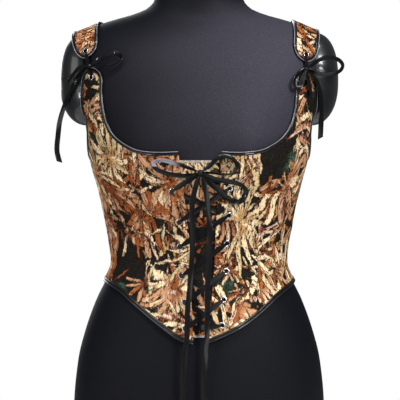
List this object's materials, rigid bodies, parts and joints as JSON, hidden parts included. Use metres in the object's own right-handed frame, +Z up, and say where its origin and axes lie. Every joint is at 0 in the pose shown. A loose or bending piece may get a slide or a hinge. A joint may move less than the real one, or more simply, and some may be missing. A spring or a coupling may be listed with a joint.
{
  "type": "corset vest on dress form",
  "caption": "Floral tapestry corset vest with a pointed hem, satin binding and a laced front opening, on a limbless dress form with shoulder caps.",
  "frame": {"origin": "middle of the dress form's flat base", "axes": "+Z up, -Y towards the viewer of the corset's front, +X to that viewer's right"},
  "size_m": [0.3879, 0.2432, 0.664],
  "materials": {
    "tapestry": "jacquard tapestry with flowers in cream, gold, peach and rust on black",
    "black_satin": "black satin with a soft sheen",
    "eyelet_metal": "plain silver-coloured metal",
    "form_jersey": "black jersey, smooth and tight",
    "cap_gloss": "glossy black"
  },
  "bodies": {
    "root": {"dress_form": "form_jersey", "shoulder_cap_left": "cap_gloss", "shoulder_cap_right": "cap_gloss", "front_left": "tapestry", "side_front_left": "tapestry", "back_left": "tapestry", "shoulder_strap_left": "tapestry", "front_right": "tapestry", "side_front_right": "tapestry", "back_right": "tapestry", "shoulder_strap_right": "tapestry", "modesty_panel": "tapestry", "binding_top_left": "black_satin", "binding_back_left": "black_satin", "binding_hem_left": "black_satin", "eyelet_left_1": "eyelet_metal", "eyelet_left_2": "eyelet_metal", "eyelet_left_3": "eyelet_metal", "eyelet_left_4": "eyelet_metal", "eyelet_left_5": "eyelet_metal", "eyelet_left_6": "eyelet_metal", "eyelet_tip_left": "eyelet_metal", "eyelet_tab_left": "eyelet_metal", "binding_top_right": "black_satin", "binding_back_right": "black_satin", "binding_hem_right": "black_satin", "eyelet_right_1": "eyelet_metal", "eyelet_right_2": "eyelet_metal", "eyelet_right_3": "eyelet_metal", "eyelet_right_4": "eyelet_metal", "eyelet_right_5": "eyelet_metal", "eyelet_right_6": "eyelet_metal", "eyelet_tip_right": "eyelet_metal", "eyelet_tab_right": "eyelet_metal", "lace": "black_satin", "bow_knot": "black_satin", "bow_loop_left": "black_satin", "bow_loop_right": "black_satin", "bow_loop_low": "black_satin", "bow_tail_left": "black_satin", "bow_tail_right": "black_satin", "tie_link_left": "black_satin", "tie_link_right": "black_satin", "tie_knot_left": "black_satin", "tie_knot_right": "black_satin", "tie_loop_left": "black_satin", "tie_loop_right": "black_satin", "tie_loop_small_right": "black_satin", "tie_tail_left": "black_satin", "tie_tail_right": "black_satin", "tie_end_left": "black_satin", "tie_end_right": "black_satin"}
  },
  "joints": []
}
